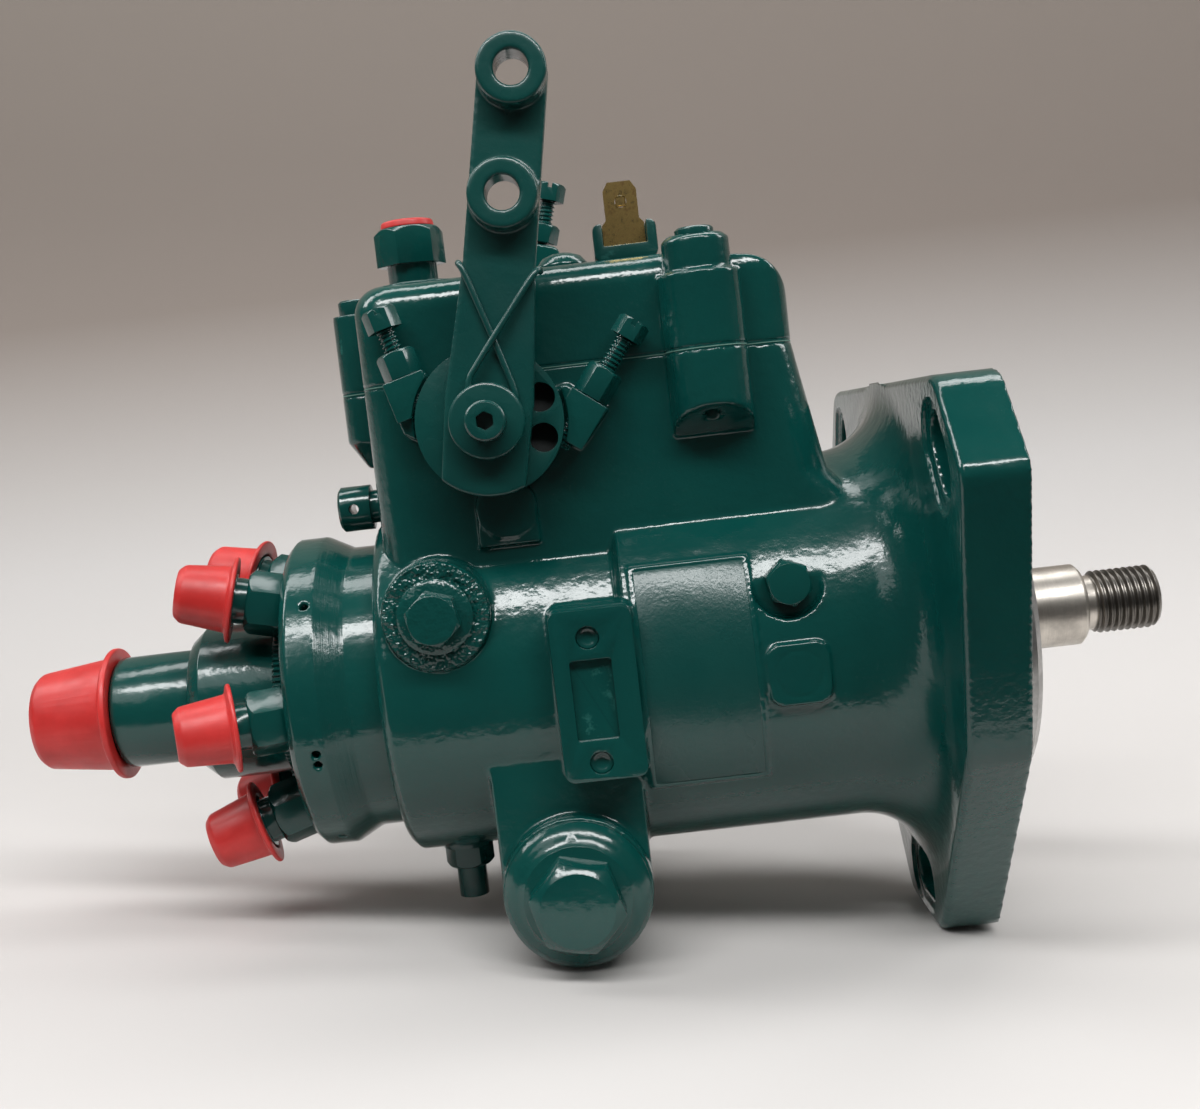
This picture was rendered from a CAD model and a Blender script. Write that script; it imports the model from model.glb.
import math

import bpy
from bpy.props import FloatProperty, FloatVectorProperty, IntProperty, PointerProperty
from bpy.types import Operator, Panel, PropertyGroup
from mathutils import Matrix, Vector


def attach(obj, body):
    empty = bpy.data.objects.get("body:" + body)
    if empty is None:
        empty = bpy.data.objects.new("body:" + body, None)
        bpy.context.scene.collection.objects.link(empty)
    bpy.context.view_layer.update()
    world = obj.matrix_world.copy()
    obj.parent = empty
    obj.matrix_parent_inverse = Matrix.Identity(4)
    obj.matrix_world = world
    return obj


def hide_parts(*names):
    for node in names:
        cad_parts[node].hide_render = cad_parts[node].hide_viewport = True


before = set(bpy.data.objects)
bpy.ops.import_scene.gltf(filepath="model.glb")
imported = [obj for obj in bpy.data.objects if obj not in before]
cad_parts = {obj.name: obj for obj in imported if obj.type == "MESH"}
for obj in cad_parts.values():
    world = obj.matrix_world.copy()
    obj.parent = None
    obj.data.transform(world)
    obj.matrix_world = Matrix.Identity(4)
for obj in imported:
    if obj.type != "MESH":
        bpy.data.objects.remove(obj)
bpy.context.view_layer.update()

bl_info = {
    "name": "Diesel injection pump",
    "version": (1, 0, 0),
    "blender": (4, 5, 0),
    "location": "View3D > Sidebar > Injection pump",
    "description": "Builds the looks of a rotary diesel injection pump round its packed solids",
    "category": "Object",
}

MM = 0.001
# the pump leans back on its flange and advance boss: level table frame to the pump's own frame
TABLE_TILT = Matrix.Rotation(math.radians(6.6), 4, "Y")
TABLE_HEIGHT = -66.85 * MM
CAMERA_PLACE, CAMERA_PITCH, CAMERA_LENS = (-0.079, -0.333, 0.0407), 4.55, 45.0
THROTTLE_AXIS = Vector((-95.1, 0.0, 54.7)) * MM
HUB_BACK_Y, HUB_CLEAR_RADIUS = -28.6, 15.5
LEVER_LEAN = math.radians(10.9)
IDLE_TIP, IDLE_UP = Vector((-108.4, -31.0, 54.3)) * MM, Vector((-0.258819, 0.0, 0.965926))
SPEED_TIP, SPEED_UP = Vector((-81.9, -31.0, 48.1)) * MM, Vector((0.608761, 0.0, 0.793353))
REAR_TIP, REAR_UP = Vector((-86.0, 36.0, 86.4)) * MM, Vector((0.285688, 0.0, 0.958323))
# balls where the enamel lies coarse, round the near lock screw: centre, reach, strength of the bump
COARSE_BOSS = ((-110.4, -37.2, 17.6), 11.4, 0.9)
COARSE_SCREW = ((-110.4, -41.0, 17.6), 9.0, 0.25)
# the head's cone keeps its lathe lines between these places along X
LATHE_BAND = (-137.0, -131.0)
SEAM_MIDDLE = 64.3 * MM
BLADE_DIMPLE = Vector((-64.0, -15.0, 97.3)) * MM


# ---- Sizes and colours that a user may change ----
class CastingSizes(PropertyGroup):
    voxel: FloatProperty(name="Casting voxel",
                         description="Grain of the mesh that rounds the castings' edges",
                         default=0.5 * MM, min=0.4 * MM, max=3 * MM, unit="LENGTH", precision=5)
    rounding: IntProperty(name="Edge rounding", description="Smoothing passes over the castings' edges",
                          default=3, min=1, max=40)
    triangles: IntProperty(name="Housing triangles",
                           description="Triangles that the housing's mesh is thinned to",
                           default=190000, min=20000, max=199000)


class ThreadSizes(PropertyGroup):
    shaft_pitch: FloatProperty(name="Shaft thread pitch",
                               description="Distance between crests on the drive shaft",
                               default=1.5 * MM, min=0.5 * MM, max=4 * MM, unit="LENGTH", precision=5)
    shaft_depth: FloatProperty(name="Shaft thread depth", description="Crest to root on the drive shaft",
                               default=0.85 * MM, min=0.2 * MM, max=2 * MM, unit="LENGTH", precision=5)
    screw_pitch: FloatProperty(name="Stop screw pitch",
                               description="Distance between crests on the stop screws",
                               default=0.95 * MM, min=0.3 * MM, max=2 * MM, unit="LENGTH", precision=5)
    screw_depth: FloatProperty(name="Stop screw depth", description="Crest to root on the stop screws",
                               default=0.42 * MM, min=0.1 * MM, max=1 * MM, unit="LENGTH", precision=5)
    serrations: IntProperty(name="Collar serrations",
                            description="Teeth round the transfer pump cap's collar",
                            default=96, min=24, max=200)


class FinishColours(PropertyGroup):
    enamel: FloatVectorProperty(name="Enamel",
                                description="Colour of the enamel over the castings", subtype="COLOR",
                                size=3, min=0, max=1, default=(0.0016, 0.046, 0.041))
    enamel_thin: FloatVectorProperty(name="Thin enamel",
                                     description="Colour where the enamel lies thin or dusty",
                                     subtype="COLOR", size=3, min=0, max=1, default=(0.0030, 0.060, 0.051))
    enamel_deep: FloatVectorProperty(name="Deep enamel",
                                     description="Colour where the enamel pools in corners",
                                     subtype="COLOR", size=3, min=0, max=1, default=(0.0010, 0.018, 0.017))
    enamel_roughness: FloatProperty(name="Enamel roughness",
                                    description="Roughness of the enamel on the castings",
                                    default=0.17, min=0.0, max=1.0)
    cap_red: FloatVectorProperty(name="Cap red",
                                 description="Colour of the protective caps", subtype="COLOR",
                                 size=3, min=0, max=1, default=(0.50, 0.017, 0.015))
    steel: FloatVectorProperty(name="Steel", description="Colour of bare steel", subtype="COLOR",
                               size=3, min=0, max=1, default=(0.56, 0.545, 0.52))
    brass: FloatVectorProperty(name="Brass", description="Colour of the terminal blade", subtype="COLOR",
                               size=3, min=0, max=1, default=(0.58, 0.41, 0.15))


class StudioLight(PropertyGroup):
    key: FloatProperty(name="Overhead light",
                       description="Power of the soft light above the pump", default=9.5,
                       min=0, max=100, unit="POWER")
    side: FloatProperty(name="Side lights",
                        description="Power of each of the two lights beside the pump", default=4.0,
                        min=0, max=100, unit="POWER")
    front: FloatProperty(name="Front light",
                         description="Power of the soft light on the lever side", default=1.0,
                         min=0, max=100, unit="POWER")
    world: FloatProperty(name="Room light",
                         description="Strength of the even light from the room", default=0.05,
                         min=0, max=4)


# ---- Helpers ----
def deselect():
    """Leaves edit mode and deselects every object."""
    if bpy.context.object and bpy.context.object.mode != "OBJECT":
        bpy.ops.object.mode_set(mode="OBJECT")
    bpy.ops.object.select_all(action="DESELECT")


def take(piece):
    """Makes one object the only selected and active one."""
    deselect()
    piece.select_set(True)
    bpy.context.view_layer.objects.active = piece


def settle(piece):
    """Moves the object's place into its mesh, so that it sits at the origin unturned."""
    take(piece)
    bpy.ops.object.transform_apply(location=True, rotation=True, scale=True)


def modify(piece, kind, **settings):
    """Adds one modifier with these settings and applies it."""
    take(piece)
    modifier = piece.modifiers.new(kind.lower(), kind)
    for key, value in settings.items():
        setattr(modifier, key, value)
    bpy.ops.object.modifier_apply(modifier=modifier.name)


def copy_of(node, name, flat_angle=0.6):
    """Copy of a solid's mesh with its loose triangles merged and its flat faces joined."""
    piece = bpy.data.objects.new(name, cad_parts[node].data.copy())
    bpy.context.scene.collection.objects.link(piece)
    piece.data.materials.clear()
    take(piece)
    if piece.data.has_custom_normals:
        bpy.ops.mesh.customdata_custom_splitnormals_clear()
    bpy.ops.object.mode_set(mode="EDIT")
    bpy.ops.mesh.select_all(action="SELECT")
    bpy.ops.mesh.remove_doubles(threshold=0.002 * MM)
    if flat_angle:
        bpy.ops.mesh.dissolve_limited(angle_limit=math.radians(flat_angle))
    bpy.ops.object.mode_set(mode="OBJECT")
    return piece


def soften(piece, width, segments=2, angle=32):
    """Small round on every sharp edge, and smooth shading between."""
    modify(piece, "BEVEL", width=width, segments=segments, limit_method="ANGLE",
           angle_limit=math.radians(angle), use_clamp_overlap=True, miter_outer="MITER_ARC")
    shade(piece)


def shade(piece, angle=34):
    """Smooth shading, with edges sharper than the angle kept crisp."""
    take(piece)
    bpy.ops.object.shade_smooth_by_angle(angle=math.radians(angle))


def cast(piece, voxel, rounding, triangles, hollow=None):
    """Soft edges of a casting under thick enamel; the thinned mesh keeps the fine one's normals."""
    modify(piece, "REMESH", mode="VOXEL", voxel_size=voxel, use_smooth_shade=True)
    modify(piece, "SMOOTH", factor=0.5, iterations=rounding)
    if hollow:
        smooth_where(piece, 24, hollow)
    take(piece)
    bpy.ops.object.shade_smooth()
    faces = sum(len(p.vertices) - 2 for p in piece.data.polygons)
    if faces <= triangles:
        return
    fine = bpy.data.objects.new("fine_mesh", piece.data.copy())
    bpy.context.scene.collection.objects.link(fine)
    modify(piece, "DECIMATE", ratio=triangles / faces)
    modify(piece, "DATA_TRANSFER", object=fine, use_loop_data=True, data_types_loops={"CUSTOM_NORMAL"},
           loop_mapping="POLYINTERP_NEAREST")
    mesh = fine.data
    bpy.data.objects.remove(fine)
    bpy.data.meshes.remove(mesh)


def smooth_where(piece, iterations, inside):
    """Further smoothing of the points that the test picks."""
    group = piece.vertex_groups.new(name="soft")
    group.add([v.index for v in piece.data.vertices if inside(v.co / MM)], 1.0, "REPLACE")
    modify(piece, "SMOOTH", factor=0.5, iterations=iterations, vertex_group="soft")
    piece.vertex_groups.remove(piece.vertex_groups["soft"])


def cut_beyond(piece, point, outwards):
    """Cuts off all of a closed mesh that lies beyond a plane, and closes the cut."""
    take(piece)
    bpy.ops.object.mode_set(mode="EDIT")
    bpy.ops.mesh.select_all(action="SELECT")
    bpy.ops.mesh.bisect(plane_co=point, plane_no=outwards, use_fill=True, clear_outer=True)
    bpy.ops.object.mode_set(mode="OBJECT")


def join(piece, *others):
    """Joins other meshes into the first."""
    deselect()
    for other in others:
        other.select_set(True)
    piece.select_set(True)
    bpy.context.view_layer.objects.active = piece
    bpy.ops.object.join()
    return piece


def frame_along(start, direction):
    """Matrix whose Z runs along the direction from the start."""
    return Matrix.Translation(start) @ Vector(direction).to_track_quat("Z", "Y").to_matrix().to_4x4()


def tube_grid(name, rows, columns, place_point):
    """Grid rolled into a closed rod: place_point(row, turn) gives each point; both ends are filled."""
    deselect()
    bpy.ops.mesh.primitive_grid_add(x_subdivisions=columns, y_subdivisions=rows, size=1)
    piece = bpy.context.object
    piece.name = name
    for vertex in piece.data.vertices:
        turn = round((vertex.co.x + 0.5) * columns)
        row = round((vertex.co.y + 0.5) * rows)
        vertex.co = place_point(row, turn / columns)
    bpy.ops.object.mode_set(mode="EDIT")
    bpy.ops.mesh.select_all(action="SELECT")
    bpy.ops.mesh.remove_doubles(threshold=0.0005 * MM)
    bpy.ops.mesh.dissolve_degenerate(threshold=0.0005 * MM)
    bpy.ops.mesh.select_all(action="DESELECT")
    bpy.ops.mesh.select_non_manifold(extend=False, use_boundary=True, use_wire=False, use_multi_face=False,
                                     use_non_contiguous=False, use_verts=False)
    bpy.ops.mesh.fill_holes(sides=0)
    bpy.ops.mesh.select_all(action="SELECT")
    bpy.ops.mesh.normals_make_consistent(inside=False)
    bpy.ops.object.mode_set(mode="OBJECT")
    return piece


def threaded_rod(name, start, direction, length, radius, depth, pitch, columns=48):
    """Rod with a real screw thread and a chamfer at both ends."""
    steps = 10
    rows = int(math.ceil(length / pitch * steps)) + steps
    matrix = frame_along(start, direction)

    def place_point(row, turn):
        along = (row - steps) * pitch / steps + pitch * (turn % 1.0 if turn < 1.0 else 1.0)
        phase = ((row - steps) / steps) % 1.0
        height = min(1.0, max(0.0, abs(2 * phase - 1) * 1.5 - 0.25))
        along = min(length, max(0.0, along))
        reach = min(radius - depth * height, radius - 1.15 * depth + min(along, length - along))
        return matrix @ Vector((reach * math.cos(turn * math.tau), reach * math.sin(turn * math.tau), along))

    piece = tube_grid(name, rows, columns, place_point)
    shade(piece, 40)
    return piece


def turned(name, start, direction, profile, steps=96, radius_at=None):
    """Solid of revolution from (distance, radius) pairs; radius_at may change a radius round the turn."""
    matrix = frame_along(start, direction)
    points = [(profile[0][0], 0.0002)] + list(profile) + [(profile[-1][0], 0.0002)]

    def place_point(row, turn):
        distance, radius = points[row]
        if radius_at:
            radius = radius_at(row, turn, radius)
        angle = turn * math.tau
        return matrix @ Vector((radius * MM * math.cos(angle), radius * MM * math.sin(angle),
                                distance * MM))

    return tube_grid(name, len(points) - 1, steps, place_point)


def wire(name, points, radius, cyclic=False):
    """Round wire through the points, closed at its ends."""
    deselect()
    curve = bpy.data.curves.new(name, "CURVE")
    curve.dimensions = "3D"
    spline = curve.splines.new("NURBS")
    spline.points.add(len(points) - 1)
    for point, place in zip(spline.points, points):
        point.co = (*place, 1.0)
    spline.order_u = 3
    spline.use_endpoint_u = True
    spline.use_cyclic_u = cyclic
    spline.resolution_u = 6
    curve.bevel_depth = radius
    curve.bevel_resolution = 4
    curve.use_fill_caps = True
    piece = bpy.data.objects.new(name, curve)
    bpy.context.scene.collection.objects.link(piece)
    take(piece)
    bpy.ops.object.convert(target="MESH")
    piece = bpy.context.object
    bpy.ops.object.mode_set(mode="EDIT")
    bpy.ops.mesh.select_all(action="SELECT")
    bpy.ops.mesh.remove_doubles(threshold=0.001 * MM)
    bpy.ops.mesh.normals_make_consistent(inside=False)
    bpy.ops.object.mode_set(mode="OBJECT")
    shade(piece, 50)
    return piece


def fit(piece, body, nodes, slot, material):
    """Paints a finished piece and puts it in place of its solids."""
    piece.data.materials.clear()
    piece.data.materials.append(material)
    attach(piece, body)
    if nodes:
        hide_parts(*nodes)


def repaint(node, material):
    """Gives a solid that stays a better material."""
    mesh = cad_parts[node].data
    if not mesh.materials:
        mesh.materials.append(material)
    for index in range(len(mesh.materials)):
        mesh.materials[index] = material


# ---- Finishes ----
class Finish:
    """A node material in the making, its shader and its object coordinates."""

    def __init__(self, name):
        name += "_finish"
        self.material = bpy.data.materials.get(name)
        self.known = self.material is not None
        if self.known:
            return
        self.material = bpy.data.materials.new(name)
        self.material.use_nodes = True
        self.nodes = self.material.node_tree.nodes
        self.links = self.material.node_tree.links
        self.shader = self.nodes["Principled BSDF"]
        self.place = self.nodes.new("ShaderNodeTexCoord").outputs["Object"]

    def set(self, **constants):
        """Constants on the shader's own sockets."""
        for key, value in constants.items():
            self.shader.inputs[key.replace("_", " ")].default_value = value

    def stretched(self, scale):
        """Object coordinates stretched along each axis."""
        mapping = self.nodes.new("ShaderNodeMapping")
        mapping.inputs["Scale"].default_value = scale
        self.links.new(self.place, mapping.inputs["Vector"])
        return mapping.outputs["Vector"]

    def noise(self, scale, detail=3.0, roughness=0.5, coordinates=None, distortion=0.0):
        """Noise of so many lumps to the metre."""
        noise = self.nodes.new("ShaderNodeTexNoise")
        noise.inputs["Scale"].default_value = scale
        noise.inputs["Detail"].default_value = detail
        noise.inputs["Roughness"].default_value = roughness
        noise.inputs["Distortion"].default_value = distortion
        self.links.new(coordinates or self.place, noise.inputs["Vector"])
        return noise.outputs["Fac"]

    def ramp(self, value, *stops):
        """Value turned into colours; each stop is (position, colour)."""
        ramp = self.nodes.new("ShaderNodeValToRGB")
        elements = ramp.color_ramp.elements
        while len(elements) < len(stops):
            elements.new(0.5)
        for element, (position, colour) in zip(elements, stops):
            element.position = position
            element.color = (*colour, 1.0)
        self.links.new(value, ramp.inputs["Fac"])
        return ramp.outputs["Color"]

    def span(self, value, low, high, to_low, to_high):
        """Value mapped from one span to another, held at its ends."""
        span = self.nodes.new("ShaderNodeMapRange")
        span.inputs["From Min"].default_value = low
        span.inputs["From Max"].default_value = high
        span.inputs["To Min"].default_value = to_low
        span.inputs["To Max"].default_value = to_high
        self.links.new(value, span.inputs["Value"])
        return span.outputs["Result"]

    def mix(self, share, first, second, blend="MIX"):
        """Mix of two colours by a share; a colour may be a socket or three numbers."""
        mix = self.nodes.new("ShaderNodeMix")
        mix.data_type = "RGBA"
        mix.blend_type = blend
        for index, value in ((0, share), (6, first), (7, second)):
            self.feed(mix.inputs[index], value)
        return mix.outputs[2]

    def feed(self, socket, value):
        """Links a socket, or sets its constant."""
        if isinstance(value, bpy.types.NodeSocket):
            self.links.new(value, socket)
        elif hasattr(socket, "default_value") and hasattr(socket.default_value, "__len__"):
            lacks_alpha = len(socket.default_value) == 4 and len(value) == 3
            socket.default_value = (*value, 1.0) if lacks_alpha else value
        else:
            socket.default_value = value

    def math(self, operation, first, second=0.5):
        """One sum on two values."""
        sum_node = self.nodes.new("ShaderNodeMath")
        sum_node.operation = operation
        self.feed(sum_node.inputs[0], first)
        self.feed(sum_node.inputs[1], second)
        return sum_node.outputs[0]

    def bump(self, height, strength, distance, under=None):
        """Bump of a height, over another bump if one is given."""
        bump = self.nodes.new("ShaderNodeBump")
        bump.inputs["Strength"].default_value = strength
        bump.inputs["Distance"].default_value = distance
        self.links.new(height, bump.inputs["Height"])
        if under is not None:
            self.links.new(under, bump.inputs["Normal"])
        return bump.outputs["Normal"]

    def pointiness(self):
        """Sharpness of the surface: over a half on edges, under a half in corners."""
        return self.nodes.new("ShaderNodeNewGeometry").outputs["Pointiness"]

    def paint(self, **sockets):
        """Links values to the shader's sockets."""
        for key, value in sockets.items():
            self.links.new(value, self.shader.inputs[key.replace("_", " ")])


def enamel(name, peel, grain, worn=True, dulled=0.0, coarse=(), lathe=()):
    """Thick glossy enamel: orange peel, casting grain, dust, thin spots on edges, coarse balls and rings."""
    finish = Finish(name)
    if finish.known:
        return finish.material
    colours = bpy.context.scene.pump_colours
    tone = finish.ramp(finish.noise(38, 4.0, 0.6), (0.25, colours.enamel), (0.8, colours.enamel_thin))
    if worn:
        edge = finish.pointiness()
        corner = finish.span(edge, 0.40, 0.485, 1.0, 0.0)
        tone = finish.mix(corner, tone, tuple(colours.enamel_deep))
        rubbed = finish.span(edge, 0.58, 0.66, 0.0, 0.5)
        spots = finish.span(finish.noise(420, 3.0, 0.7), 0.54, 0.66, 0.0, 1.0)
        tone = finish.mix(finish.math("MULTIPLY", rubbed, spots), tone, (0.03, 0.15, 0.13))
    patches = finish.span(finish.noise(26, 2.0, 0.5), 0.46, 0.62, 0.0, 1.0)
    specks = finish.span(finish.noise(1400, 4.0, 0.75), 0.58, 0.74, 0.0, 0.16)
    tone = finish.mix(finish.math("MULTIPLY", patches, specks), tone, (0.10, 0.15, 0.13))
    rough = finish.span(finish.noise(60, 3.0, 0.6), 0.3, 0.7, colours.enamel_roughness - 0.05 + dulled,
                        colours.enamel_roughness + 0.06 + dulled)
    under = finish.bump(finish.noise(120, 2.0, 0.5), 0.5, 0.12 * MM * peel)
    under = finish.bump(finish.noise(480, 2.0, 0.5), 0.6, 0.16 * MM * peel, under)
    under = finish.bump(finish.noise(1600, 2.0, 0.6), 0.5, 0.045 * MM * grain, under)
    for centre, reach, strength in coarse:
        distance = finish.nodes.new("ShaderNodeVectorMath")
        distance.operation = "DISTANCE"
        finish.links.new(finish.place, distance.inputs[0])
        distance.inputs[1].default_value = tuple(value * MM for value in centre)
        near = finish.span(distance.outputs["Value"], reach * 0.93 * MM, reach * MM, 1.0, 0.0)
        lumps = finish.math("MULTIPLY", finish.noise(480, 2.0, 0.6), near)
        under = finish.bump(lumps, strength, 1.7 * MM, under)
        rough = finish.math("MAXIMUM", rough, finish.math("MULTIPLY", near, 0.19))
    if lathe:
        along = finish.nodes.new("ShaderNodeSeparateXYZ")
        finish.links.new(finish.place, along.inputs["Vector"])
        rings = finish.noise(1.0, 3.0, 0.7, finish.stretched((2600, 30, 30)))
        for low, high in lathe:
            starts = finish.span(along.outputs["X"], low * MM, (low + 0.3) * MM, 0.0, 1.0)
            ends = finish.span(along.outputs["X"], (high - 0.3) * MM, high * MM, 1.0, 0.0)
            inside = finish.math("MULTIPLY", starts, ends)
            under = finish.bump(finish.math("MULTIPLY", rings, inside), 0.7, 0.10 * MM, under)
    finish.paint(Base_Color=tone, Roughness=rough, Normal=under)
    finish.set(Coat_Weight=0.25, Coat_Roughness=0.04 + dulled, Specular_IOR_Level=0.5)
    finish.links.new(under, finish.shader.inputs["Coat Normal"])
    return finish.material


def bare_steel(name, lines=1.0, tint=(1.0, 1.0, 1.0), rough=0.22, stained_beyond=None):
    """Turned or ground steel: fine lines round the axis, faint stains, darker beyond a place along it."""
    finish = Finish(name)
    if finish.known:
        return finish.material
    steel = bpy.context.scene.pump_colours.steel
    bright = tuple(a * b for a, b in zip(steel, tint))
    dark = tuple(a * 0.62 for a in bright)
    ring_lines = finish.noise(1.0, 4.0, 0.7, finish.stretched((5200, 60, 60)))
    stains = finish.noise(140, 4.0, 0.65)
    tone = finish.ramp(stains, (0.35, dark), (0.62, bright))
    tone = finish.mix(finish.span(ring_lines, 0.35, 0.65, 0.0, 0.35), tone, dark)
    if stained_beyond:
        along = finish.nodes.new("ShaderNodeSeparateXYZ")
        finish.links.new(finish.place, along.inputs["Vector"])
        oil = finish.span(along.outputs["X"], stained_beyond * MM, (stained_beyond + 0.5) * MM, 0.0, 0.72)
        tone = finish.mix(oil, tone, (0.035, 0.032, 0.030))
    roughness = finish.span(stains, 0.3, 0.7, rough + 0.12, rough)
    bump = finish.bump(ring_lines, 0.35 * lines, 0.02 * MM)
    finish.paint(Base_Color=tone, Roughness=roughness, Normal=bump)
    finish.set(Metallic=1.0)
    return finish.material


def moulded(name, colour, rough=0.42, soft=0.0, haze=(1.0, 1.0, 1.0)):
    """Moulded plastic or rubber with a faint skin and scuffs."""
    finish = Finish(name)
    if finish.known:
        return finish.material
    pale = tuple(min(1.0, a * 1.25 + 0.02 * b) for a, b in zip(colour, haze))
    tone = finish.ramp(finish.noise(75, 4.0, 0.6), (0.3, tuple(a * 0.86 for a in colour)), (0.75, pale))
    streaks = finish.noise(1.0, 4.0, 0.7, finish.stretched((260, 900, 900)))
    scuffs = finish.span(streaks, 0.62, 0.78, 0.0, 0.35)
    tone = finish.mix(scuffs, tone, pale)
    roughness = finish.span(finish.noise(210, 3.0, 0.6), 0.3, 0.7, rough - 0.06, rough + 0.08)
    bump = finish.bump(finish.noise(160, 2.0, 0.5), 0.35, 0.10 * MM)
    bump = finish.bump(finish.noise(1900, 2.0, 0.5), 0.3, 0.02 * MM, bump)
    finish.paint(Base_Color=tone, Roughness=roughness, Normal=bump)
    finish.set(Subsurface_Weight=soft)
    finish.shader.inputs["Subsurface Radius"].default_value = (1.0, 0.25, 0.2)
    finish.shader.inputs["Subsurface Scale"].default_value = 1.2 * MM
    return finish.material


def brass_sheet(name):
    """Punched brass sheet with brown handling stains."""
    finish = Finish(name)
    if finish.known:
        return finish.material
    brass = tuple(bpy.context.scene.pump_colours.brass)
    stains = finish.noise(520, 5.0, 0.7)
    tone = finish.ramp(stains, (0.38, (0.20, 0.13, 0.05)), (0.55, brass), (0.8, (0.72, 0.56, 0.27)))
    lines = finish.noise(1.0, 3.0, 0.6, finish.stretched((3000, 3000, 160)))
    bump = finish.bump(lines, 0.3, 0.02 * MM)
    finish.paint(Base_Color=tone, Roughness=finish.span(stains, 0.35, 0.65, 0.45, 0.24), Normal=bump)
    finish.set(Metallic=1.0)
    return finish.material


def casting_enamel():
    return enamel("casting_enamel", 1.0, 1.0, coarse=(COARSE_BOSS,))


def head_enamel():
    return enamel("head_enamel", 0.7, 0.6, lathe=(LATHE_BAND,))


def fastener_enamel():
    return enamel("fastener_enamel", 0.55, 0.5, worn=False, dulled=0.02, coarse=(COARSE_SCREW,))


def lever_enamel():
    return enamel("lever_enamel", 0.55, 1.2, dulled=0.12)


def red_cap_plastic():
    return moulded("red_cap_plastic", tuple(bpy.context.scene.pump_colours.cap_red), rough=0.40, soft=0.12)


# ---- Stage ----
class PUMP_OT_stage(Operator):
    """Floor and backdrop in one sweep, soft lights and the camera on the lever side"""
    bl_idname = "pump.stage"
    bl_label = "Studio stage"

    def execute(self, context):
        light = context.scene.pump_light
        self.sweep()
        self.lamp("overhead", (-0.12, -0.52, 0.66), (-0.08, -0.03, 0.0), (1.20, 0.15), light.key)
        self.lamp("overhead_rear", (-0.10, 0.18, 0.82), (-0.08, 0.10, 0.0), (1.20, 0.20), light.key * 0.45)
        self.lamp("left", (-1.05, 0.10, 0.72), (-0.20, 0.10, 0.0), (0.30, 0.60), light.side)
        self.lamp("right", (0.95, 0.10, 0.72), (0.10, 0.10, 0.0), (0.30, 0.60), light.side)
        self.lamp("front", (-0.75, -0.75, 0.62), (-0.08, 0.0, 0.02), (0.60, 0.40), light.front)
        world = bpy.data.worlds.new("room")
        context.scene.world = world
        world.use_nodes = True
        background = world.node_tree.nodes["Background"]
        background.inputs["Color"].default_value = (1.0, 0.97, 0.94, 1.0)
        background.inputs["Strength"].default_value = light.world
        self.camera(context)
        context.scene.view_settings.view_transform = "Standard"
        return {"FINISHED"}

    def sweep(self):
        """Pale paper that runs from the table up behind the pump."""
        deselect()
        bpy.ops.mesh.primitive_grid_add(x_subdivisions=2, y_subdivisions=60, size=1)
        paper = bpy.context.object
        paper.name = "paper_sweep"
        bend, start = 0.22, 0.20
        for vertex in paper.data.vertices:
            travel = (vertex.co.y + 0.5) * 1.7 - 0.112
            across = vertex.co.x * 3.2
            arc = bend * math.pi / 2
            if travel < start:
                y, z = travel, 0.0
            elif travel < start + arc:
                turn = (travel - start) / bend
                y, z = start + bend * math.sin(turn), bend * (1 - math.cos(turn))
            else:
                y, z = start + bend, bend + travel - start - arc
            vertex.co = (across, y, z + TABLE_HEIGHT)
        paper.matrix_world = TABLE_TILT
        settle(paper)
        bpy.ops.object.shade_smooth()
        finish = Finish("paper")
        up = finish.nodes.new("ShaderNodeSeparateXYZ")
        finish.links.new(finish.place, up.inputs["Vector"])
        rise = finish.span(up.outputs["Z"], -0.10, 0.42, 0.0, 1.0)
        tone = finish.ramp(rise, (0.0, (0.62, 0.60, 0.585)), (0.22, (0.46, 0.445, 0.435)),
                           (0.45, (0.205, 0.172, 0.150)), (1.0, (0.185, 0.160, 0.136)))
        grain = finish.bump(finish.noise(420, 3.0, 0.6), 0.12, 0.1 * MM)
        # clear from its back, so that the pump's far side can be looked at too
        back = finish.nodes.new("ShaderNodeNewGeometry").outputs["Backfacing"]
        finish.paint(Base_Color=tone, Normal=grain, Alpha=finish.span(back, 0.0, 1.0, 1.0, 0.0))
        finish.set(Roughness=0.7)
        paper.data.materials.append(finish.material)

    def lamp(self, name, place, target, size, power):
        """One soft rectangular light, placed in the level table frame."""
        data = bpy.data.lights.new(name, "AREA")
        data.shape = "RECTANGLE"
        data.size, data.size_y = size
        data.energy = power
        lamp = bpy.data.objects.new(name, data)
        bpy.context.scene.collection.objects.link(lamp)
        aim = (Vector(target) - Vector(place)).to_track_quat("-Z", "Y").to_matrix().to_4x4()
        lamp.matrix_world = TABLE_TILT @ Matrix.Translation(place) @ aim

    def camera(self, context):
        """Camera level with the pump, pitched down a little."""
        data = bpy.data.cameras.new("camera")
        data.lens, data.sensor_width = CAMERA_LENS, 36.0
        data.clip_start, data.clip_end = 0.01, 20.0
        camera = bpy.data.objects.new("camera", data)
        context.scene.collection.objects.link(camera)
        aim = Matrix.Rotation(math.radians(90 - CAMERA_PITCH), 4, "X")
        camera.matrix_world = TABLE_TILT @ Matrix.Translation(CAMERA_PLACE) @ aim
        context.scene.camera = camera


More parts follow.
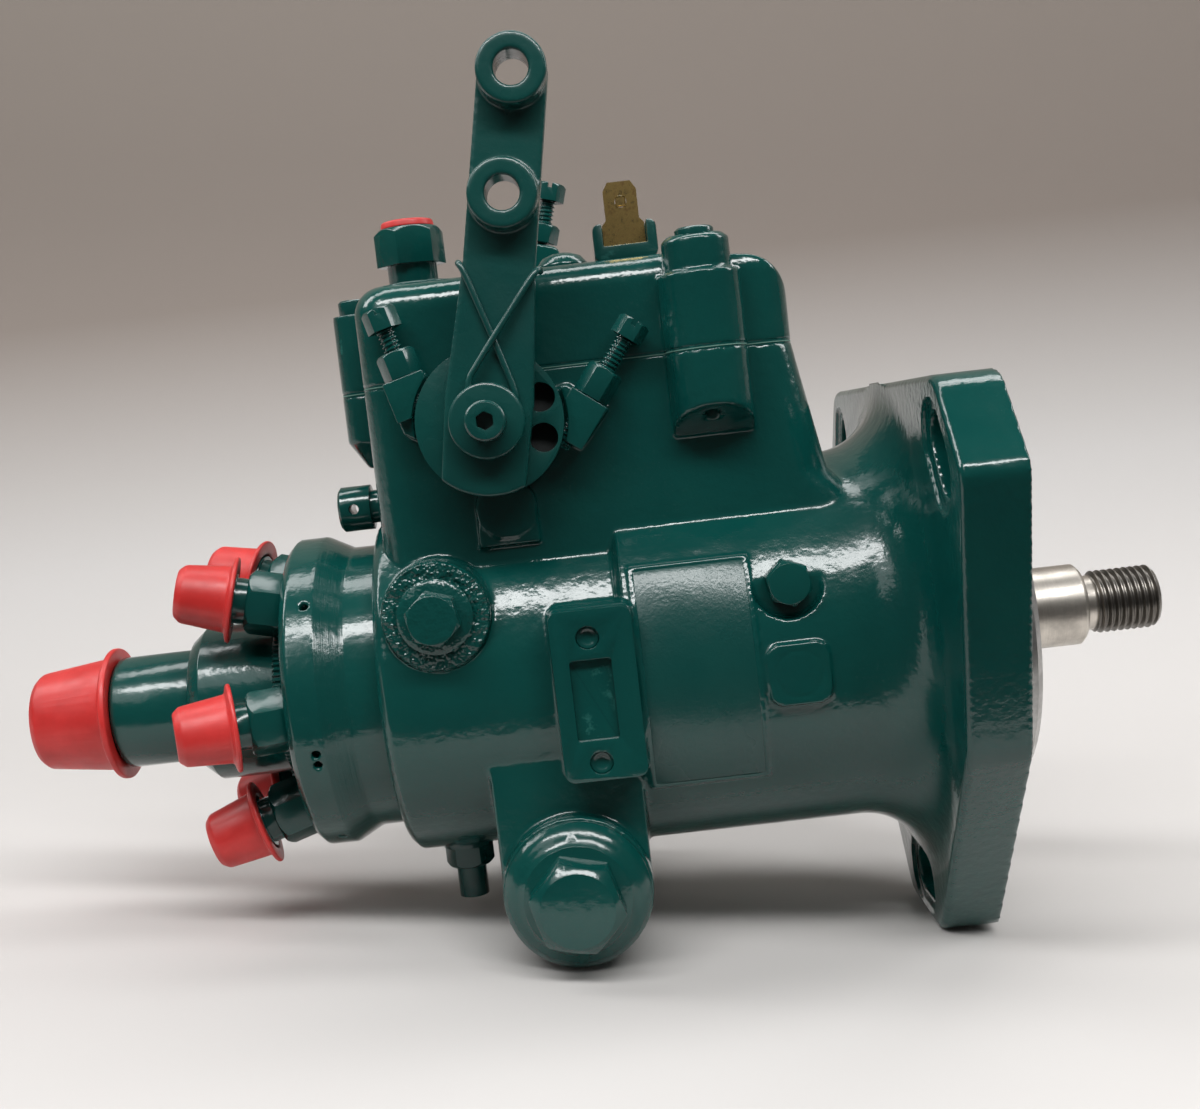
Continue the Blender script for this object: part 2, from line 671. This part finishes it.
# ---- Castings ----
class PUMP_OT_housing(Operator):
    """Cast housing with its soft edges"""
    bl_idname = "pump.housing"
    bl_label = "Housing casting"

    def execute(self, context):
        sizes = context.scene.pump_casting
        piece = copy_of("pump_housing", "housing_casting", 0)

        def flare(p):
            return -32 < p.x < -13.6 and p.y * p.y + p.z * p.z > 40 * 40

        cast(piece, sizes.voxel, sizes.rounding, sizes.triangles, flare)
        fit(piece, "body", ["pump_housing"], "casting_enamel", casting_enamel())
        return {"FINISHED"}


class PUMP_OT_cover(Operator):
    """Governor cover with its soft edges"""
    bl_idname = "pump.cover"
    bl_label = "Governor cover"

    def execute(self, context):
        sizes = context.scene.pump_casting
        piece = copy_of("governor_cover", "cover_casting", 0)
        cast(piece, sizes.voxel * 0.8, sizes.rounding, 120000)
        fit(piece, "body", ["governor_cover"], "casting_enamel", casting_enamel())
        return {"FINISHED"}


class PUMP_OT_lever(Operator):
    """Forged throttle lever with two drilled bosses"""
    bl_idname = "pump.lever"
    bl_label = "Throttle lever"

    def execute(self, context):
        piece = copy_of("throttle_lever", "lever_forging", 0)
        cast(piece, 0.42 * MM, 4, 90000)
        fit(piece, "lever", ["throttle_lever"], "lever_enamel", lever_enamel())
        return {"FINISHED"}


class PUMP_OT_head(Operator):
    """Hydraulic head with its cone and thick ring under enamel"""
    bl_idname = "pump.head"
    bl_label = "Hydraulic head"

    def execute(self, context):
        piece = copy_of("hydraulic_head", "head_turned", 0)
        cast(piece, 0.4 * MM, 2, 150000)
        fit(piece, "body", ["hydraulic_head"], "head_enamel", head_enamel())
        return {"FINISHED"}


class PUMP_OT_gasket(Operator):
    """Enamelled seam between case and cover, with the gasket's edge as a fine pale line"""
    bl_idname = "pump.gasket"
    bl_label = "Cover gasket"

    def execute(self, context):
        strips = []
        for name, height, inset in (("seam", 2.1, 0.16), ("edge", 0.45, 0.05)):
            strip = copy_of("cover_gasket", "gasket_" + name, 0)
            for vertex in strip.data.vertices:
                vertex.co.z = SEAM_MIDDLE + (vertex.co.z - SEAM_MIDDLE) * height
            modify(strip, "DISPLACE", strength=-inset * MM, mid_level=0.0)
            shade(strip)
            strips.append(strip)
        fit(strips[0], "body", ["cover_gasket"], "casting_enamel", casting_enamel())
        fit(strips[1], "body", [], "gasket_sheet", moulded("gasket_sheet", (0.10, 0.22, 0.18), 0.5))
        return {"FINISHED"}


# ---- Threads and screws ----
class PUMP_OT_drive_shaft(Operator):
    """Drive shaft with its ground journal and cut thread"""
    bl_idname = "pump.drive_shaft"
    bl_label = "Drive shaft"

    def execute(self, context):
        sizes = context.scene.pump_threads
        piece = copy_of("drive_shaft", "shaft_steel")
        cut_beyond(piece, (30.4 * MM, 0, 0), (1, 0, 0))
        soften(piece, 0.25 * MM)
        thread = threaded_rod("shaft_thread", (30.2 * MM, 0, 0), (1, 0, 0), 14.2 * MM, 7.0 * MM,
                              sizes.shaft_depth, sizes.shaft_pitch, 72)
        join(piece, thread)
        steel = bare_steel("shaft_ground_steel", 1.0, (1.3, 1.25, 1.18), 0.30, 30.0)
        fit(piece, "drive_train", ["drive_shaft"], "ground_steel", steel)
        return {"FINISHED"}


class PUMP_OT_stop_screws(Operator):
    """Adjusting screws with real threads, and the blocks that hold the two near ones"""
    bl_idname = "pump.stop_screws"
    bl_label = "Stop screws"

    def execute(self, context):
        sizes = context.scene.pump_threads
        screws = (("idle_stop_screw", IDLE_TIP, IDLE_UP, 21.6),
                  ("max_speed_screw", SPEED_TIP, SPEED_UP, 25.2),
                  ("rear_stop_screw", REAR_TIP, REAR_UP, 21.5))
        for node, tip, up, length in screws:
            head = copy_of(node, node + "_threaded")
            cut_beyond(head, tip + up * (length - 0.02) * MM, -up)
            soften(head, 0.28 * MM)
            rod = threaded_rod(node + "_rod", tip, up, (length + 0.5) * MM, 1.95 * MM, sizes.screw_depth,
                               sizes.screw_pitch, 28)
            join(head, rod)
            fit(head, "body", [node], "fastener_enamel", fastener_enamel())
        for name, tip, up, low, high, wide in (("idle_lug", IDLE_TIP, IDLE_UP, 3.2, 11.4, 8.4),
                                               ("speed_lug", SPEED_TIP, SPEED_UP, 1.6, 11.4, 8.0)):
            deselect()
            bpy.ops.mesh.primitive_cube_add(size=1.0)
            lug = bpy.context.object
            lug.name = name
            lug.matrix_world = frame_along(tip + up * low * MM, up) @ Matrix.Diagonal(
                (wide * MM, wide * MM, (high - low) * MM, 1.0)) @ Matrix.Translation((0, 0, 0.5))
            settle(lug)
            hub_back = THROTTLE_AXIS + Vector((0, HUB_BACK_Y, 0)) * MM
            hub = turned(name + "_cutter", hub_back, (0, -1, 0),
                         [(0, HUB_CLEAR_RADIUS), (20, HUB_CLEAR_RADIUS)], 128)
            modify(lug, "BOOLEAN", object=hub, operation="DIFFERENCE", solver="EXACT")
            bpy.data.objects.remove(hub)
            soften(lug, 0.5 * MM, 3)
            fit(lug, "body", [], "casting_enamel", casting_enamel())
        return {"FINISHED"}


class PUMP_OT_spring(Operator):
    """Torsion spring round the hub, its two ends crossed and hooked on the lever's edges"""
    bl_idname = "pump.spring"
    bl_label = "Lever spring"

    def execute(self, context):
        radius, coil = 0.65, 6.3
        front = -41.75
        points = []
        for side, depth in ((-1, 0.0), (1, -1.35)):
            leg = [(side * 7.9, front + 4.6, 29.8), (side * 8.0, front + 2.4, 29.9),
                   (side * 7.7, front + 0.5, 29.8), (side * 6.6, front + depth * 0.3, 28.3),
                   (side * 2.2, front + depth * 0.7, 20.0),
                   (-side * 2.0, front + depth, 12.0), (-side * 5.2, front + depth, 5.6)]
            points.append(leg)
        turns = []
        start = math.radians(35)
        for step in range(0, 30):
            share = step / 29
            angle = start - share * (math.tau * 1.28)
            turns.append((coil * math.cos(angle), front - 1.35 * share, coil * math.sin(angle)))
        path = points[0] + turns + list(reversed(points[1]))
        lean = Matrix.Translation(THROTTLE_AXIS) @ Matrix.Rotation(LEVER_LEAN, 4, "Y")
        piece = wire("spring_wire", [lean @ (Vector(p) * MM) for p in path], radius * MM)
        fit(piece, "lever", ["lever_spring"], "lever_enamel", lever_enamel())
        return {"FINISHED"}


# ---- Pump end ----
class PUMP_OT_pump_cap(Operator):
    """Transfer pump cap with its serrated collar"""
    bl_idname = "pump.pump_cap"
    bl_label = "Transfer pump cap"

    def execute(self, context):
        count = context.scene.pump_threads.serrations
        piece = copy_of("transfer_pump_cap", "pump_cap_turned")
        for vertex in piece.data.vertices:
            radius = math.hypot(vertex.co.y, vertex.co.z) / MM
            if radius > 17.5:
                vertex.co.y *= 17.4 / radius
                vertex.co.z *= 17.4 / radius
        soften(piece, 0.2 * MM)
        profile = [(0.05, 16.2), (0.05, 17.8), (0.4, 18.2), (4.8, 18.2), (5.15, 17.8), (5.15, 16.2)]

        def radius_at(row, turn, radius):
            if radius < 17:
                return radius
            tooth = abs((turn * count) % 1.0 - 0.5) * 2
            return radius - 0.65 * min(1.0, max(0.0, 1.6 - 2.2 * tooth))

        collar = turned("collar", (-144.0 * MM, 0, 0), (-1, 0, 0), profile, count * 6, radius_at)
        shade(collar, 30)
        fit(piece, "body", ["transfer_pump_cap"], "head_enamel", head_enamel())
        fit(collar, "body", [], "head_enamel", head_enamel())
        return {"FINISHED"}


class PUMP_OT_caps(Operator):
    """Soft red push-on caps"""
    bl_idname = "pump.caps"
    bl_label = "Protective caps"

    def execute(self, context):
        piece = copy_of("protective_caps", "soft_caps")
        soften(piece, 0.4 * MM, 3, 30)
        fit(piece, "body", ["protective_caps"], "red_plastic", red_cap_plastic())
        plug = copy_of("return_plug", "soft_plug")
        soften(plug, 0.4 * MM, 3, 30)
        fit(plug, "body", ["return_plug"], "red_plastic", red_cap_plastic())
        return {"FINISHED"}


class PUMP_OT_turned_parts(Operator):
    """Hexagons, flanges and round bodies with their edges softened by the enamel"""
    bl_idname = "pump.turned_parts"
    bl_label = "Fittings and screws"

    def execute(self, context):
        enamelled = {
            "inlet_fitting": (0.35, "head_enamel", head_enamel()),
            "return_connector": (0.30, "head_enamel", head_enamel()),
            "advance_plugs": (0.45, "head_enamel", head_enamel()),
            "outlet_fittings": (0.25, "fastener_enamel", fastener_enamel()),
            "cover_screws": (0.25, "fastener_enamel", fastener_enamel()),
            "ground_screw": (0.30, "fastener_enamel", fastener_enamel()),
            "head_lock_screws": (0.35, "fastener_enamel", fastener_enamel()),
            "head_locating_screw": (0.30, "fastener_enamel", fastener_enamel()),
            "housing_plugs": (0.30, "fastener_enamel", fastener_enamel()),
            "stop_screw_nuts": (0.30, "fastener_enamel", fastener_enamel()),
            "timing_window_cover": (0.30, "casting_enamel", casting_enamel()),
            "name_plate": (0.15, "casting_enamel", enamel("plate_enamel", 0.5, 2.2, dulled=0.12)),
        }
        for node, (width, slot, material) in enamelled.items():
            piece = copy_of(node, node + "_enamelled")
            soften(piece, width * MM)
            fit(piece, "body", [node], slot, material)
        dimple = [(-4.4, 1.2), (-0.05, 1.2), (-0.05, 2.2), (0.55, 2.2), (0.6, 2.0), (0.25, 1.5), (0.05, 0.8)]
        screws = [turned("window_screw", Vector((-80.8, -41.2, z)) * MM, (0, -1, 0), dimple, 40)
                  for z in (10.6, -14.3)]
        for screw in screws:
            shade(screw, 50)
        fit(join(*screws), "body", ["window_screws"], "fastener_enamel", fastener_enamel())
        for side, angle in (("upper", 19.0), ("lower", -23.0)):
            place = THROTTLE_AXIS + Vector((11.1 * math.cos(math.radians(angle)), -33.6,
                                            11.1 * math.sin(math.radians(angle)))) * MM
            shade_disc = turned("hub_hole_" + side, place, (0, -1, 0), [(0, 2.88), (0.3, 2.88)], 32)
            shadow = moulded("hub_shadow", (0.004, 0.006, 0.006), 0.9)
            fit(shade_disc, "throttle", [], "lever_enamel", shadow)
        for node in ("throttle_shaft", "hub_washer", "hub_screw"):
            piece = copy_of(node, node + "_enamelled")
            soften(piece, 0.3 * MM)
            fit(piece, "throttle", [node], "lever_enamel", lever_enamel())
        return {"FINISHED"}


class PUMP_OT_terminal(Operator):
    """Brass blade and its moulded holder"""
    bl_idname = "pump.terminal"
    bl_label = "Shut-off terminal"

    def execute(self, context):
        blade = copy_of("shutoff_terminal", "terminal_blade")
        shade(blade, 12)
        fit(blade, "body", ["shutoff_terminal"], "terminal_brass", brass_sheet("terminal_brass_sheet"))
        dimple = turned("blade_dimple", BLADE_DIMPLE, (0, -1, 0),
                        [(0.38, 1.55), (0.5, 1.5), (0.5, 1.35), (0.15, 0.95)], 4)
        there, back = Matrix.Translation(BLADE_DIMPLE), Matrix.Translation(-BLADE_DIMPLE)
        dimple.matrix_world = there @ Matrix.Rotation(math.radians(45), 4, "Y") @ back
        settle(dimple)
        shade(dimple, 12)
        fit(dimple, "body", [], "terminal_brass", brass_sheet("terminal_brass_sheet"))
        holder = copy_of("terminal_insulator", "terminal_holder")
        soften(holder, 0.3 * MM)
        fit(holder, "body", ["terminal_insulator"], "terminal_insulation", lever_enamel())
        return {"FINISHED"}


class PUMP_OT_inner_finishes(Operator):
    """Finishes of the machined pilot and of the pieces inside"""
    bl_idname = "pump.inner_finishes"
    bl_label = "Inner finishes"

    def execute(self, context):
        ground = ("distributor_rotor", "cam_ring", "cam_rollers", "roller_shoes", "plungers",
                  "metering_valve", "regulator_piston", "advance_piston", "advance_pin", "thrust_sleeve",
                  "transfer_pump_liner")
        pressed = ("weight_cage", "governor_weight_1", "governor_weight_2", "governor_weight_3",
                   "governor_weight_4", "governor_weight_5", "governor_weight_6", "governor_arm",
                   "governor_arm_pivot", "linkage_hook", "seal_snap_ring", "shutoff_armature")
        for node in ground:
            repaint(node, bare_steel("ground_steel", 0.6))
        for node in pressed:
            repaint(node, bare_steel("pressed_steel", 0.3, (0.8, 0.8, 0.8), 0.34))
        repaint("pilot_tube", bare_steel("machined_aluminium", 1.2, (1.15, 1.17, 1.2), 0.34))
        repaint("shaft_bushing", bare_steel("sintered_bronze", 0.4, (0.95, 0.68, 0.36), 0.36))
        repaint("transfer_blades", moulded("carbon", (0.03, 0.03, 0.032), 0.55))
        repaint("shaft_seals", moulded("seal_rubber", (0.018, 0.018, 0.018), 0.6))
        repaint("head_o_ring", moulded("seal_rubber", (0.018, 0.018, 0.018), 0.6))
        repaint("shutoff_solenoid", moulded("coil_moulding", (0.02, 0.02, 0.02), 0.5))
        return {"FINISHED"}


class PUMP_PT_panel(Panel):
    """Lists the pump's pieces and finishes"""
    bl_idname = "PUMP_PT_panel"
    bl_label = "Injection pump"
    bl_space_type = "VIEW_3D"
    bl_region_type = "UI"
    bl_category = "Injection pump"

    def draw(self, context):
        column = self.layout.column(align=True)
        for operator in OPERATORS:
            column.operator(operator.bl_idname)
        for group in ("pump_casting", "pump_threads", "pump_colours", "pump_light"):
            settings = getattr(context.scene, group)
            box = self.layout.box()
            for key in settings.__annotations__:
                box.prop(settings, key)


OPERATORS = (PUMP_OT_stage, PUMP_OT_housing, PUMP_OT_cover, PUMP_OT_lever, PUMP_OT_head, PUMP_OT_gasket,
             PUMP_OT_drive_shaft, PUMP_OT_stop_screws, PUMP_OT_spring, PUMP_OT_pump_cap, PUMP_OT_caps,
             PUMP_OT_turned_parts, PUMP_OT_terminal, PUMP_OT_inner_finishes)
GROUPS = {"pump_casting": CastingSizes, "pump_threads": ThreadSizes, "pump_colours": FinishColours,
          "pump_light": StudioLight}


def register():
    for group in GROUPS.values():
        bpy.utils.register_class(group)
    for key, group in GROUPS.items():
        setattr(bpy.types.Scene, key, PointerProperty(type=group))
    for cls in (*OPERATORS, PUMP_PT_panel):
        bpy.utils.register_class(cls)


def unregister():
    for cls in (PUMP_PT_panel, *reversed(OPERATORS)):
        bpy.utils.unregister_class(cls)
    for key, group in GROUPS.items():
        delattr(bpy.types.Scene, key)
        bpy.utils.unregister_class(group)


def main():
    """Registers the add-on, builds every piece in order and notes the sizes."""
    register()
    for operator in OPERATORS:
        group, name = operator.bl_idname.split(".")
        getattr(getattr(bpy.ops, group), name)()


if __name__ == "__main__":
    main()
